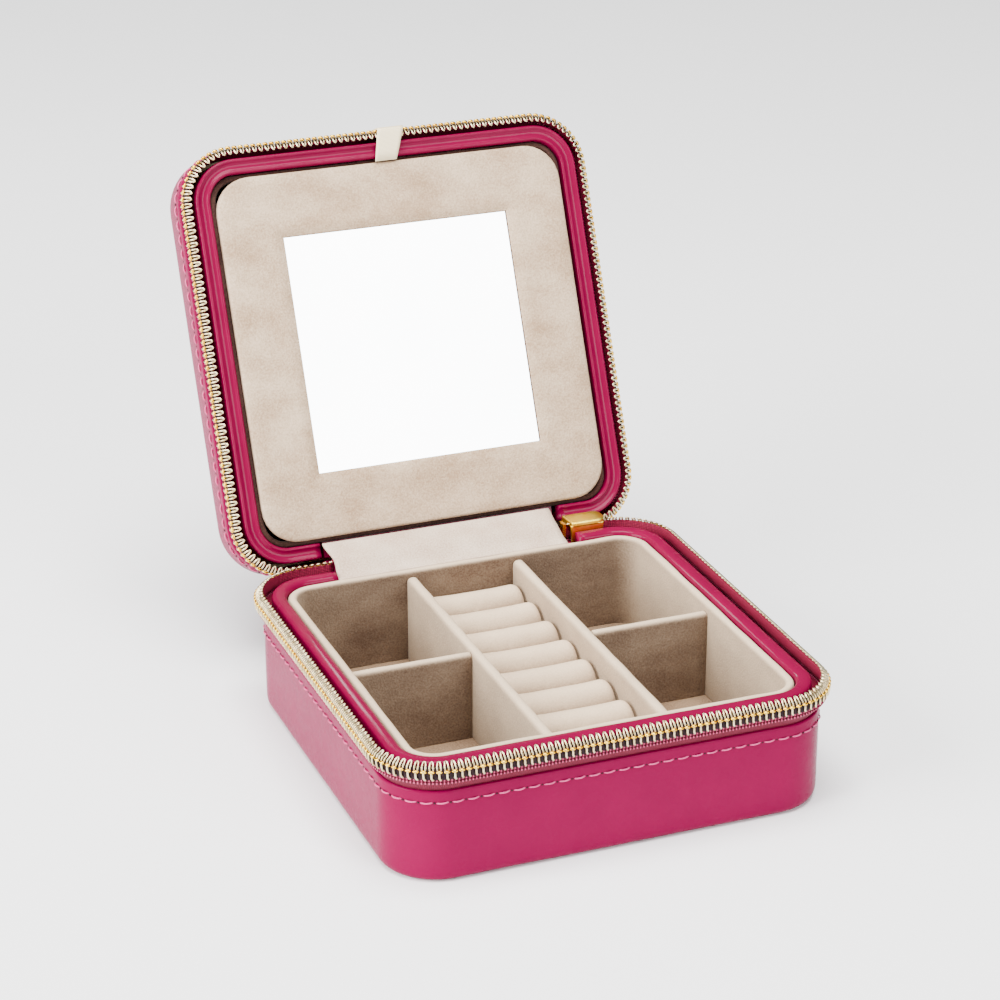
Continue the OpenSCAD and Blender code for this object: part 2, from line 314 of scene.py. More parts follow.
class Finish:
    """A material and short ways to add nodes to it."""

    def __init__(self, name, colour, roughness, **values):
        self.material = bpy.data.materials.new(name)
        self.material.use_nodes = True
        self.nodes, self.links = self.material.node_tree.nodes, self.material.node_tree.links
        self.shader = self.nodes["Principled BSDF"]
        self.shader.inputs["Base Color"].default_value = colour
        self.shader.inputs["Roughness"].default_value = roughness
        for key, value in values.items():
            self.shader.inputs[key.replace("_", " ")].default_value = value

    def coordinates(self, path=False):
        """Place in the object, or along its path, in metres."""
        if path:
            node = self.nodes.new("ShaderNodeUVMap")
            node.uv_map = "Path"
            return node.outputs["UV"]
        return self.nodes.new("ShaderNodeTexCoord").outputs["Object"]

    def noise(self, size, detail=2.0, path=False, stretch=(1, 1, 1)):
        """Cloudy texture whose features are about size millimetres across."""
        mapping = self.nodes.new("ShaderNodeMapping")
        mapping.inputs["Scale"].default_value = [k / (size * MM) for k in stretch]
        node = self.nodes.new("ShaderNodeTexNoise")
        node.inputs["Scale"].default_value = 1.0
        node.inputs["Detail"].default_value = detail
        self.links.new(self.coordinates(path), mapping.inputs["Vector"])
        self.links.new(mapping.outputs["Vector"], node.inputs["Vector"])
        return node.outputs["Fac"]

    def bands(self, size, direction):
        """Parallel ribs along or across the path, size millimetres apart."""
        node = self.nodes.new("ShaderNodeTexWave")
        node.bands_direction = direction
        node.inputs["Scale"].default_value = math.pi / 10 / (size * MM)
        self.links.new(self.coordinates(path=True), node.inputs["Vector"])
        return node.outputs["Fac"]

    def facing(self, axis):
        """How far the surface faces along an axis of the object, from -1 to 1."""
        node = self.nodes.new("ShaderNodeSeparateXYZ")
        self.links.new(self.nodes.new("ShaderNodeTexCoord").outputs["Normal"], node.inputs["Vector"])
        return node.outputs[axis]

    def math(self, operation, a, b):
        node = self.nodes.new("ShaderNodeMath")
        node.operation = operation
        for socket, value in zip(node.inputs, (a, b)):
            if isinstance(value, (int, float)):
                socket.default_value = value
            else:
                self.links.new(value, socket)
        return node.outputs[0]

    def tint(self, factor, low, high, start=0.3, end=0.7):
        """Base colour between low and high, as the factor goes from start to end."""
        ramp = self.nodes.new("ShaderNodeValToRGB")
        ramp.color_ramp.elements[0].position = start
        ramp.color_ramp.elements[0].color = low
        ramp.color_ramp.elements[1].position = end
        ramp.color_ramp.elements[1].color = high
        self.links.new(factor, ramp.inputs["Fac"])
        self.links.new(ramp.outputs["Color"], self.shader.inputs["Base Color"])

    def rough(self, factor, low, high):
        """Roughness between low and high."""
        node = self.nodes.new("ShaderNodeMapRange")
        node.inputs["To Min"].default_value = low
        node.inputs["To Max"].default_value = high
        self.links.new(factor, node.inputs["Value"])
        self.links.new(node.outputs["Result"], self.shader.inputs["Roughness"])

    def bump(self, height, depth, strength=1.0):
        """Relief, depth millimetres from its lowest to its highest point."""
        node = self.nodes.new("ShaderNodeBump")
        node.inputs["Strength"].default_value = strength
        node.inputs["Distance"].default_value = depth * MM
        self.links.new(height, node.inputs["Height"])
        self.links.new(node.outputs["Normal"], self.shader.inputs["Normal"])


def leather(name, low, high, roughness, coat):
    """Smooth glossy coated leather with a very fine grain and faint clouding."""
    finish = Finish(name, low, roughness, Coat_Weight=coat, Coat_Roughness=0.1, Specular_IOR_Level=0.03)
    finish.tint(finish.noise(9), low, high)
    finish.rough(finish.noise(4, detail=4), roughness - 0.05, roughness + 0.08)
    grain = finish.math("ADD", finish.noise(0.45, detail=3), finish.noise(2.5))
    finish.bump(grain, 0.035, strength=0.5)
    return finish.material


def velvet(name, low, high, path=False, upright_shade=0.0):
    """Short dense pile: a sheen at grazing angles, a fine nap and brushed patches. The last argument is how
    much painted shade darkens its upright faces, most of all those that face the front."""
    finish = Finish(name, low, 0.95, Sheen_Weight=0.12, Sheen_Roughness=0.4,
                    Sheen_Tint=srgb(255, 246, 235), Specular_IOR_Level=0.1)
    nap = finish.noise(0.5, detail=3, path=path)
    patches = finish.noise(14, detail=3, path=path, stretch=(1, 1, 1.6))
    shade = finish.math("ADD", finish.math("MULTIPLY", nap, 0.5), finish.math("MULTIPLY", patches, 0.5))
    start, end = 0.36, 0.64
    # painted shade: upright faces, and most of all those facing the front, are darkened where shade falls
    # inside the compartments and between the rolls
    if upright_shade:
        front = finish.math("MINIMUM", finish.facing("Y"), 0.0)
        level = finish.facing("Z")
        upright = finish.math("SUBTRACT", 1.0, finish.math("MULTIPLY", level, level))
        dark = finish.math("ADD", finish.math("MULTIPLY", upright, 0.5 * upright_shade),
                           finish.math("MULTIPLY", finish.math("MULTIPLY", front, front), 0.5 * upright_shade))
        shade = finish.math("MULTIPLY", shade, 0.4)
        shade = finish.math("SUBTRACT", shade, finish.math("MULTIPLY", dark, 0.5))
        shade = finish.math("ADD", shade, 0.5)
        start, end = 0.12, 0.76
    finish.tint(shade, low, high, start, end)
    finish.bump(nap, 0.22, strength=0.7)
    return finish.material


def woven(name, low, high, size, sheen):
    """Fine plain weave that follows the cloth's own length."""
    finish = Finish(name, low, 0.7, Sheen_Weight=sheen, Sheen_Roughness=0.5, Specular_IOR_Level=0.3)
    weave = finish.math("MULTIPLY", finish.bands(size, "X"), finish.bands(size * 0.8, "Y"))
    finish.tint(finish.math("ADD", weave, finish.math("MULTIPLY", finish.noise(1.5, path=True), 0.4)),
                low, high, 0.2, 0.9)
    finish.bump(weave, size * 0.35, strength=0.9)
    return finish.material


def metal(name, low, high, roughness):
    """Plated metal with slight stains and fine polishing marks."""
    finish = Finish(name, low, roughness, Metallic=1.0)
    finish.tint(finish.noise(2.2, detail=3), low, high)
    finish.rough(finish.noise(0.6, detail=4, stretch=(1, 4, 4)), roughness - 0.06, roughness + 0.1)
    finish.bump(finish.noise(0.5, detail=2), 0.01, strength=0.4)
    return finish.material


def card_board(name):
    finish = Finish(name, srgb(160, 140, 116), 0.9)
    fibres = finish.noise(0.8, detail=5, stretch=(1, 0.3, 1))
    finish.tint(fibres, srgb(142, 122, 98), srgb(176, 158, 132))
    finish.bump(fibres, 0.06)
    return finish.material


def silvered_glass(name):
    finish = Finish(name, srgb(250, 251, 252), 0.02, Metallic=1.0)
    haze = finish.noise(25, detail=3)
    finish.tint(haze, srgb(247, 249, 250), srgb(253, 254, 254))
    finish.rough(haze, 0.01, 0.035)
    return finish.material


def satin_ribbon(name):
    finish = Finish(name, srgb(236, 216, 172), 0.36, Sheen_Weight=0.1, Coat_Weight=0.1, Coat_Roughness=0.3)
    ribs = finish.bands(0.35, "X")
    finish.tint(ribs, srgb(222, 200, 154), srgb(244, 228, 192), 0.1, 0.9)
    finish.bump(ribs, 0.05, strength=0.6)
    return finish.material


def rib_thread(name):
    """Ribbed edge thread of the tape: a row of light dots where it comes to the surface."""
    finish = Finish(name, srgb(120, 0, 42), 0.6, Specular_IOR_Level=0.3)
    dots = finish.bands(0.9, "X")
    finish.tint(dots, srgb(78, 0, 26), srgb(214, 76, 122), 0.6, 0.95)
    finish.bump(dots, 0.15)
    return finish.material


PINK = leather("glossy_pink", srgb(117, 0, 55), srgb(121, 0, 57), 0.26, 0.035)
COLLAR_PINK = leather("collar_pink", srgb(104, 0, 44), srgb(112, 0, 48), 0.24, 0.13)
CRIMSON = woven("crimson_weave", srgb(74, 0, 26), srgb(136, 0, 48), 0.55, 0.0)
# Lighter copy of the crimson weave: painted light for the inward faces of the tapes and cores, which lie in
# shade.
LIT_CRIMSON = woven("painted_lit_crimson_weave", srgb(100, 0, 36), srgb(156, 0, 58), 0.55, 0.0)
CORE = woven("zip_core", srgb(16, 0, 6), srgb(46, 0, 16), 0.5, 0.0)
VELVET = velvet("beige_velvet", srgb(160, 132, 104), srgb(204, 180, 152))
# Darker copy of the beige velvet: painted shade on the floor deep in the compartments.
FLOOR_SHADE_VELVET = velvet("floor_shade_velvet", srgb(112, 88, 68), srgb(150, 124, 98))
# The tray and the rolls take painted shade on their upright faces; the rolls' copy is lighter, with painted
# light on their tops.
TRAY_VELVET = velvet("tray_velvet", srgb(84, 65, 52), srgb(210, 186, 156), upright_shade=1.0)
ROLL_VELVET = velvet("roll_velvet", srgb(92, 68, 50), srgb(222, 196, 164), upright_shade=1.0)
# Dark brown copy of the velvet: painted shade for the gap behind the panel and the wall of its window.
PAINTED_SHADE_VELVET = velvet("painted_shade_velvet", srgb(52, 34, 30), srgb(84, 58, 50))
GUSSET_VELVET = velvet("gusset_velvet", srgb(176, 150, 128), srgb(214, 194, 174), path=True)
TOOTH = metal("tooth_plating", srgb(190, 168, 120), srgb(238, 222, 184), 0.26)
TOOTH_GOLD = metal("tooth_gold", srgb(222, 160, 24), srgb(255, 212, 70), 0.24)
GOLD = metal("polished_gold", srgb(248, 204, 50), srgb(255, 232, 100), 0.3)
BOARD = card_board("grey_board")
MIRROR = silvered_glass("silvered_glass")
RIBBON = satin_ribbon("cream_ribbon")
THREAD = woven("pink_thread", srgb(206, 56, 116), srgb(240, 118, 166), 0.3, 0.05)
RIB = rib_thread("rib_thread")
# The needle holes are dark discs: painted shade in the holes.
HOLE_SHADE = woven("needle_hole_shade", srgb(40, 0, 14), srgb(60, 4, 22), 0.3, 0.0)


# ---- leather covers and their stitching ----

FACE_INSET = 0.12                       # the top and bottom faces are drawn in by this
WALL_SWELL = 0.12                       # and the walls swell out by this
FLAT_MARGIN = 8                         # width of the profile's part of a flat face
STITCH_DROP = 3.1                       # from the leather's edge to its row of stitches


def cover_profile(face, edge, half):
    """Closed skin from the middle of the inner face to the middle of the outer one. face is the
    height of the outer face and edge the height of the open edge."""
    side = 1 if edge > face else -1
    inner = half - LEATHER
    face += side * FACE_INSET
    points = [(inner - FLAT_MARGIN, face + side * LEATHER), (inner, face + side * LEATHER),
              (inner, edge), (half, edge), (half + WALL_SWELL, (face + edge) / 2), (half, face),
              (half - FLAT_MARGIN, face)]
    return rounded(points, [0, 1.2, 0.6, 0.65, 9, 2.8, 0])


def leather_cover(name, face, edge, body, node):
    shape = Shape()
    shape.sweep(cover_profile(face, edge, CASE), CASE, closed=False)
    return build(name, shape, body, PINK, [node], ripple=(0.09, 22))


def stitching(name, z, body, up):
    """Row of slanted stitches with a needle hole between each two, drawn as a dark disc of painted shade."""
    half = STITCH * 0.37
    thread, hole = Shape(), Shape()
    steps = 8
    thread.tube([(half * (2 * k / steps - 1), 0.36 - 0.5 * (2 * k / steps - 1) ** 2,
                  0.08 * (2 * k / steps - 1)) for k in range(steps + 1)], 0.21, sides=8)
    for width, out in ((0.62, 0.1), (0.3, 0.17)):
        hole.tube([(STITCH / 2, out - 0.3, 0), (STITCH / 2, out, 0)], width * 0.62, sides=8)
    places = evenly(0, rim_length(CASE), STITCH)
    for part, pattern, material in (("thread", thread, THREAD), ("holes", hole, HOLE_SHADE)):
        row = Shape()
        row.repeat(pattern, CASE, z, places, up)
        build(f"{name}_{part}", row, body, material)


leather_cover("base_cover", COVER_LOW.z, COVER_HIGH.z, "base", "base_leather_cover")
leather_cover("lid_cover", LID_HIGH.z, LID_LOW.z, "lid", "lid_leather_cover")
stitching("base_stitches", COVER_HIGH.z - STITCH_DROP, "base", 1)
stitching("lid_stitches", LID_LOW.z + STITCH_DROP, "lid", -1)


# ---- zips ----

WIRE = 0.3                              # radius of the metallised wire
TAPE_T = 0.6                            # thickness of the tape
# A tooth's own points, as (along the rim, outward, up) from the gold line
PRONG = [(0.62, 0.8, -2.15), (0.26, 0.98, -2.05), (0.04, 1.08, -1.6), (0, 1.18, -0.8), (0, 1.12, 0.1)]
LOOP_SIDE = [(0.4, 0.95, 0.1), (0.45, 0.45, 0.95), (0.42, -0.25, 1.5), (0.26, -0.78, 1.78)]


def tooth():
    """One turn of the metallised coil: a hooked outer prong and an inner hairpin loop."""
    shape = Shape()
    shape.tube(PRONG, WIRE)
    back = [(-u, v, w) for u, v, w in reversed(LOOP_SIDE)]
    shape.tube(LOOP_SIDE + [(0, -0.98, 1.88)] + back, WIRE * 0.92)
    return shape


def tooth_head():
    """Gold bead where the prong bends over the tape's edge."""
    shape = Shape()
    shape.ball((0, 1.08, 0.05), (0.82, 0.46, 0.4))
    return shape


def light_inside(piece, body):
    """Gives the faces that look inwards a lighter copy of the crimson: painted light on the tape's inner
    side, which lies in shade.
    """
    piece.data.materials.append(LIT_CRIMSON)
    back = place_of(body).inverted()
    for polygon in piece.data.polygons:
        normal = back.to_3x3() @ polygon.normal
        if normal.xy.dot((back @ polygon.center).xy) < 0:
            polygon.material_index = 1


def zip_teeth(name, body, node, h, z, up, start, end):
    """A row of teeth round the rim. z is the height of the gold line; the loops rise on the up side."""
    places = evenly(start, end, PITCH)
    teeth, heads, core = Shape(), Shape(), Shape()
    teeth.repeat(tooth(), h, z, places, up)
    heads.repeat(tooth_head(), h, z, places, up)
    cord = rounded([(h - 0.75, z - up * 2.4), (h + 0.75, z - up * 2.4), (h + 0.65, z + up * 0.4),
                    (h - 0.45, z + up * 1.15)], 0.5, closed=True, steps=3)
    core.sweep(cord, h, start, end)
    build(f"{name}_teeth", teeth, body, TOOTH, [node])
    build(f"{name}_heads", heads, body, TOOTH_GOLD)
    light_inside(build(f"{name}_core", core, body, CORE), body)


def zip_tape(name, body, node, sewn, h, z_foot, z_lip, z_bend, z_top, start, end):
    """Woven tape: sewn flat inside the leather, flaring out to the teeth, with two rib rows."""
    out = h - TAPE_T / 2
    points = [(sewn, z_foot), (sewn + TAPE_T, z_foot), (sewn + TAPE_T, z_lip), (out + TAPE_T, z_bend),
              (out + TAPE_T, z_top), (out, z_top), (out, z_bend), (sewn, z_lip)]
    shape = Shape()
    shape.sweep(rounded(points, [0.1, 0.1, 2, 2, 0.1, 0.1, 2, 2], closed=True, steps=4), h, start, end)
    woven_faces = len(shape.faces)
    for share in (0.2, 0.62):
        z = z_bend + (z_top - z_bend) * share
        shape.sweep(circle(out + TAPE_T, z, 0.3, sides=6), h, start, end)
        shape.sweep(circle(out, z, 0.3, sides=6), h, start, end)
    tape = build(name, shape, body, CRIMSON, [node])
    light_inside(tape, body)
    tape.data.materials.append(RIB)
    for polygon in tape.data.polygons[woven_faces:]:
        polygon.material_index = 2


HEAD_RISE = 2.4                         # the gold line above the lower ends of the prongs
ZIP_START = 34.1                        # from the middle of the back to the slider's end of the base's zip
LID_GAP_TURN = math.radians(10.2)       # part of a back corner that the lid's zip leaves to the slider
TAPE_BEND = 28.2                        # height at which the base's tape has flared out
SEWN = COLLAR_HIGH.x + 0.1              # half width at which both tapes are sewn in
base_gold = CHAIN_LOW.z + HEAD_RISE
lid_gold = LID_CHAIN_HIGH.z - HEAD_RISE
base_stop = rim_length(BASE_ZIP) - ZIP_START
lid_stop = rim_length(LID_ZIP) - CENTRE - LID_GAP_TURN * (LID_ZIP - CENTRE)
zip_teeth("base_zip", "base", "base_zip_chain", BASE_ZIP, base_gold, 1, HINGE_HALF, base_stop)
zip_teeth("lid_zip", "lid", "lid_zip_chain", LID_ZIP, lid_gold, -1, HINGE_HALF, lid_stop)
zip_tape("base_tape", "base", "base_zip_tape", SEWN, BASE_ZIP, TAPE_LOW.z, COVER_HIGH.z - 0.4,
         TAPE_BEND, CHAIN_LOW.z + 0.6, HINGE_HALF, base_stop)
zip_tape("lid_tape", "lid", "lid_zip_tape", SEWN, LID_ZIP, LID_TAPE_HIGH.z, LID_LOW.z + 0.4,
         LID_LOW.z - 1.4, LID_CHAIN_HIGH.z - 0.6, HINGE_HALF, lid_stop)


# ---- collars ----

def base_collar():
    inner, outer, top = TRAY_HIGH.x + 0.25, COLLAR_HIGH.x, COLLAR_HIGH.z
    points = [(inner, COLLAR_LOW.z), (outer, COLLAR_LOW.z), (outer, top - 0.5), (outer - 1.1, top),
              (inner + 0.9, top - 0.1), (inner, top - 1.0)]
    shape = Shape()
    length = rim_length(outer)
    shape.sweep(rounded(points, [0.2, 0.2, 0.9, 1.2, 1.2, 0.8], closed=True, steps=4), outer,
                HINGE_HALF + 1, length - HINGE_HALF - 1)
    build("base_collar_leather", shape, "base", COLLAR_PINK, ["base_collar"],
          ripple=(0.1, 12))


def lid_collar():
    """Band with a raised rounded edge on each side, which catches the light."""
    inner, outer, top = PANEL_HIGH.x + 1.2, LID_COLLAR_HIGH.x, LID_COLLAR_LOW.z
    points = [(inner, LID_COLLAR_HIGH.z), (outer, LID_COLLAR_HIGH.z), (outer, top + 0.4), (outer - 0.7, top),
              (outer - 1.6, top + 0.75), (inner + 1.5, top + 0.75), (inner + 0.7, top + 0.1),
              (inner, top + 0.6)]
    shape = Shape()
    length = rim_length(outer)
    shape.sweep(rounded(points, [0.2, 0.2, 0.6, 0.8, 0.8, 0.8, 0.8, 0.6], closed=True, steps=4), outer,
                HINGE_HALF + 1, length - HINGE_HALF - 1)
    build("lid_collar_leather", shape, "lid", COLLAR_PINK, ["lid_collar"], ripple=(0.04, 12))


base_collar()
lid_collar()


# ---- tray ----

RIM_T = 2.4                             # thickness of the tray's padded wall
TRAY_IN = TRAY_HIGH.x - RIM_T


def tray_lining():
    half, top = TRAY_HIGH.x, TRAY_HIGH.z
    points = [(half, TRAY_LOW.z), (half, top), (TRAY_IN, top), (TRAY_IN, TRAY_LOW.z)]
    shape = Shape()
    shape.sweep(rounded(points, [0.1, 1.15, 1.15, 0.1], closed=True, steps=7), half, step=1.2)
    build("tray_lining", shape, "base", TRAY_VELVET, ["tray_wall"], ripple=(0.14, 9))


def floor_pad():
    half, top = FLOOR_HIGH.x, FLOOR_HIGH.z
    points = [(MIDDLE, FLOOR_LOW.z), (half, FLOOR_LOW.z), (half, top), (MIDDLE, top)]
    shape = Shape()
    shape.sweep(rounded(points, [0, 0.3, 0.5, 0], steps=3), half, closed=False)
    build("tray_floor_pad", shape, "base", FLOOR_SHADE_VELVET, ["tray_floor"])


def divider(name, along):
    """Padded board with a rounded top; along is 0 if it runs along X and 1 if along Y."""
    low, high = closed_box(name)
    across = 1 - along
    mid, half = (low[across] + high[across]) / 2, (high[across] - low[across]) / 2
    section = rounded([(-half, low.z), (half, low.z), (half, high.z), (-half, high.z)],
                      [0.1, 0.1, half * 0.98, half * 0.98], closed=True, steps=6)
    steps = round((high[along] - low[along]) / 1.5)
    rows = []
    for i in range(steps + 1):
        shrink = 0.82 if i in (0, steps) else 1.0
        place = low[along] + (high[along] - low[along]) * i / steps
        if i in (1, steps - 1):
            place += 1.1 if i == steps - 1 else -1.1
        row = []
        for p in section:
            spot = [0.0, 0.0, p.y if p.y < high.z - half else high.z - half + (p.y - high.z + half) * shrink]
            spot[along] = place
            spot[across] = mid + p.x * shrink
            row.append(spot)
        rows.append(row)
    shape = Shape()
    shape.grid(rows, [1.5 * i for i in range(steps + 2)])
    build(f"{name}_pad", shape, "base", TRAY_VELVET, [name], ripple=(0.12, 8))


tray_lining()
floor_pad()
for divider_name, direction in (("left_divider", 1), ("right_divider", 1),
                                ("left_cross_divider", 0), ("right_cross_divider", 0)):
    divider(divider_name, direction)


# ---- ring rolls, inflated as cloth ----

ROLLS = [f"ring_roll_{i}" for i in range(1, 9)]
SIM_SCALE = 20                          # cloth behaves well on pieces this much larger than the rolls
ROLL_SLACK = 0.25                       # how much slimmer a roll is before it is filled
ROLL_CAP = 0.35                         # farthest that the padding may push the velvet out


def roll_shape(name):
    """Roll before it is filled: a slim half-round bar with eased ends."""
    low, high = closed_box(name)
    half = (high.y - low.y) / 2 - ROLL_SLACK
    mid = (high.y + low.y) / 2
    section = [(-half, low.z), (half, low.z), (half, low.z + 7)]
    crest = high.z - ROLL_SLACK - half
    section += [(half * math.cos(math.pi * k / 22), crest + half * math.sin(math.pi * k / 22))
                for k in range(23)]
    section += [(-half, low.z + 7)]
    steps = 32
    rows = []
    for i in range(steps + 1):
        end = min(i, steps - i)
        shrink = (0.9, 0.97)[end] if end < 2 else 1.0
        x = low.x + 0.25 + (high.x - low.x - 0.5) * i / steps
        rows.append([(x, mid + y * shrink, low.z + (z - low.z) * (0.5 + 0.5 * shrink)) for y, z in section])
    shape = Shape()
    shape.grid(rows, [i * (high.x - low.x) / steps for i in range(steps + 2)])
    return shape


def inflate(shapes, pressure, free_above):
    """Fills the shapes as cloth cushions, holding what lies below free_above, and moves their points."""
    whole = Shape()
    for shape in shapes:
        whole.add(shape.points, shape.faces, shape.paths)
    mesh = bpy.data.meshes.new("filling")
    mesh.from_pydata([p * MM * SIM_SCALE for p in whole.points], [], whole.faces)
    work = bmesh.new()
    work.from_mesh(mesh)
    bmesh.ops.recalc_face_normals(work, faces=work.faces)
    work.to_mesh(mesh)
    work.free()
    sack = bpy.data.objects.new("filling", mesh)
    bpy.context.scene.collection.objects.link(sack)
    pins = sack.vertex_groups.new(name="pins")
    pins.add([i for i, p in enumerate(whole.points) if p.z < free_above], 1.0, "REPLACE")
    cloth = sack.modifiers.new("Cloth", "CLOTH")
    settings = cloth.settings
    settings.quality = 6
    settings.mass = 0.3
    settings.tension_stiffness = settings.compression_stiffness = 12
    settings.shear_stiffness = 6
    settings.bending_stiffness = 0.4
    settings.vertex_group_mass = "pins"
    settings.use_pressure = True
    settings.uniform_pressure_force = pressure
    settings.effector_weights.gravity = 0
    scene = bpy.context.scene
    for number in range(1, 21):
        scene.frame_set(number)
    result = sack.evaluated_get(bpy.context.evaluated_depsgraph_get()).to_mesh()
    moved = [v.co / (MM * SIM_SCALE) for v in result.vertices]
    scene.frame_set(1)
    bpy.data.objects.remove(sack)
    first = 0
    for shape in shapes:
        for i, point in enumerate(shape.points):
            push = moved[first + i] - point
            shape.points[i] = point + push * min(1.0, ROLL_CAP / max(push.length, 1e-9))
        first += len(shape.points)


def ring_rolls():
    shapes = [roll_shape(name) for name in ROLLS]
    inflate(shapes, 4.0, closed_box(ROLLS[0])[0].z + 8)
    for name, shape in zip(ROLLS, shapes):
        roll = build(f"{name}_pad", shape, "base", ROLL_VELVET, [name], ripple=(0.07, 6))
        smooth = roll.modifiers.new("Subdivision", "SUBSURF")
        smooth.levels = smooth.render_levels = 1


ring_rolls()


# ---- mirror panel, mirror and the pocket behind ----

def panel_pad():
    """Velvet-covered board with a square window; its outline runs from the window to the edge."""
    half, corner = PANEL_HIGH.x, 10.0
    window = GLASS_HIGH.x + 0.1
    front, back = PANEL_LOW.z, PANEL_HIGH.z
    steps = 15
    outline, frame_line = [], []
    for turn in range(4):
        spin = Matrix.Rotation(turn * QUARTER, 2)
        for k in range(-steps, steps + 1):
            edge = Vector((half, (half - corner) * k / steps))
            hole = Vector((window, window * k / steps))
            outline.append(spin @ edge)
            frame_line.append(spin @ hole)
        for k in range(1, 8):
            angle = QUARTER * k / 8
            x, y = (half - corner + corner * part for part in (math.cos(angle), math.sin(angle)))
            outline.append(spin @ Vector((x, y)))
            frame_line.append(spin @ Vector((window, window)))
    rows = []
    for edge, hole in zip(outline, frame_line):
        across = edge - hole
        row = [(*hole, back), (*hole, front + 0.3), (*(hole + across.normalized() * 0.3), front)]
        row += [(*(hole + across * t), front) for t in (0.2, 0.4, 0.6, 0.8)]
        row += [(*(edge - across.normalized() * 0.8), front),
                (*(edge - across.normalized() * 0.25), front + 0.2),
                (*edge, front + 0.7), (*edge, back)]
        rows.append(row)
    shape = Shape()
    shape.grid(rows, list(range(len(rows) + 1)), closed_rows=True, caps=False)
    panel = build("mirror_panel_pad", shape, "mirror_flap", VELVET, ["mirror_panel"])
    # the window's wall takes the dark velvet: painted shade
    panel.data.materials.append(PAINTED_SHADE_VELVET)
    for polygon in panel.data.polygons:
        if polygon.index % len(rows[0]) == 0:
            polygon.material_index = 1      # painted shade on the wall of the window


def pocket_lining():
    half, wall = POCKET_HIGH.x, 1.6
    mouth, floor_z, back = POCKET_LOW.z, POCKET_FLOOR_LOW.z, POCKET_FLOOR_HIGH.z
    points = [(MIDDLE, back), (half, back), (half, mouth), (half - wall, mouth), (half - wall, floor_z),
              (MIDDLE, floor_z)]
    shape = Shape()
    shape.sweep(rounded(points, [0, 0.6, 0.7, 0.7, 1.2, 0]), half, closed=False)
    # the pocket's lining takes the dark velvet: painted shade in the gap between the collar and the panel
    build("pocket_lining", shape, "lid", PAINTED_SHADE_VELVET, ["pocket_wall", "pocket_floor"],
          ripple=(0.15, 10))


panel_pad()
pocket_lining()


# ---- ribbon tab ----

def ribbon_tab():
    """Folded ribbon that comes out of the panel's top edge and hooks over the teeth."""
    low, high = closed_box("mirror_tab")
    mouth = low.z + 0.3
    path = [(high.y, mouth), (-56.0, mouth - 0.05), (low.y + 0.9, mouth),
            (low.y + 0.3, mouth + 0.8), (low.y + 0.3, high.z)]
    line = rounded(path, [0, 2, 1.0, 1.2, 0], steps=5)
    rows, along = [], [0.0]
    for i, point in enumerate(line):
        if i:
            along.append(along[-1] + (point - line[i - 1]).length)
        share = min(along[i] / 10.0, 1.0)
        half = 3.15 + 0.75 * share
        lean = -0.4 + 3.0 * share
        before, after = line[max(i - 1, 0)], line[min(i + 1, len(line) - 1)]
        normal = Vector((-(after - before).y, (after - before).x)).normalized() * 0.24
        front, rear = point - normal, point + normal
        columns = [half * (2 * k / 8 - 1) for k in range(9)]
        rows.append([(lean + x, front.x, front.y) for x in columns]
                    + [(lean + x, rear.x, rear.y) for x in reversed(columns)])
    along.append(along[-1])
    shape = Shape()
    shape.grid(rows, along)
    build("ribbon_tab", shape, "tab", RIBBON, ["mirror_tab"])


ribbon_tab()


# ---- hinge fabric between the base and the lid ----

def hinge_strip(name, line, left, right, waist, thick, material, node, flat_rise=0.0):
    """Strip across the hinge. waist is how far its side edges are drawn in at the middle, and flat_rise
    how deep its unevenness is."""
    mid, half_width = (left + right) / 2, (right - left) / 2
    shape = Shape()
    columns = 44
    along = [0.0]
    rows = []
    for i, point in enumerate(line):
        if i:
            along.append(along[-1] + (point - line[i - 1]).length)
    for i, point in enumerate(line):
        share = along[i] / along[-1]
        half = half_width - waist * math.sin(math.pi * share) ** 2
        before, after = line[max(i - 1, 0)], line[min(i + 1, len(line) - 1)]
        normal = Vector((-(after - before).y, (after - before).x)).normalized()
        top, under = [], []
        for k in range(columns + 1):
            x = mid + half * (2 * k / columns - 1)
            sag = flat_rise * math.sin(math.pi * share) * noise.noise((x / 9, share * 1.5, 0.3))
            top.append((x, *(point + normal * sag)))
            under.append((x, *(point + normal * (sag - thick))))
        rows.append(top + under[::-1])
    along.append(along[-1])
    shape.grid(rows, along)
    strip = build(name, shape, None, material, [node], place=Matrix.Identity(4))
    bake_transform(strip)


def smooth_line(points, steps=5):
    """Curve through the points."""
    points = [Vector(p) for p in points]
    line = []
    for i in range(len(points) - 1):
        p0, p1 = points[max(i - 1, 0)], points[i]
        p2, p3 = points[i + 1], points[min(i + 2, len(points) - 1)]
        for k in range(steps):
            t = k / steps
            line.append(0.5 * (2 * p1 + (p2 - p0) * t + (2 * p0 - 5 * p1 + 4 * p2 - p3) * t * t
                               + (3 * p1 - p0 - 3 * p2 + p3) * t ** 3))
    return line + [points[-1]]


gusset_low, gusset_high = [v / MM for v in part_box("hinge_gusset")]
spine_low, spine_high = [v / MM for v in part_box("hinge_spine")]
# Side views of the two strips at rest, as (depth, height)
GUSSET_LINE = smooth_line([(53.0, 31.4), (55.8, 32.2), (59.2, 34.4), (61.6, 35.0), (64.4, 35.4),
                           (67.8, 36.1)])
SPINE_LINE = smooth_line([(59.8, 24.6), (61.5, 28.4), (64.4, 29.8), (68, 28.6), (73.4, 25.2)])
OVER_ZIP_END = 3.0                      # the velvet strip covers the left end of the zip by this
SLIDER_ROOM = 0.8                       # and leaves this for the slider on the right
hinge_strip("gusset_strip", GUSSET_LINE, gusset_low.x - OVER_ZIP_END, gusset_high.x - SLIDER_ROOM, 0.7, 0.6,
            GUSSET_VELVET, "hinge_gusset", flat_rise=0.25)
hinge_strip("spine_leather", SPINE_LINE, spine_low.x, spine_high.x, 0.0, 0.9, PINK,
            "hinge_spine")


# ---- slider and pull ----

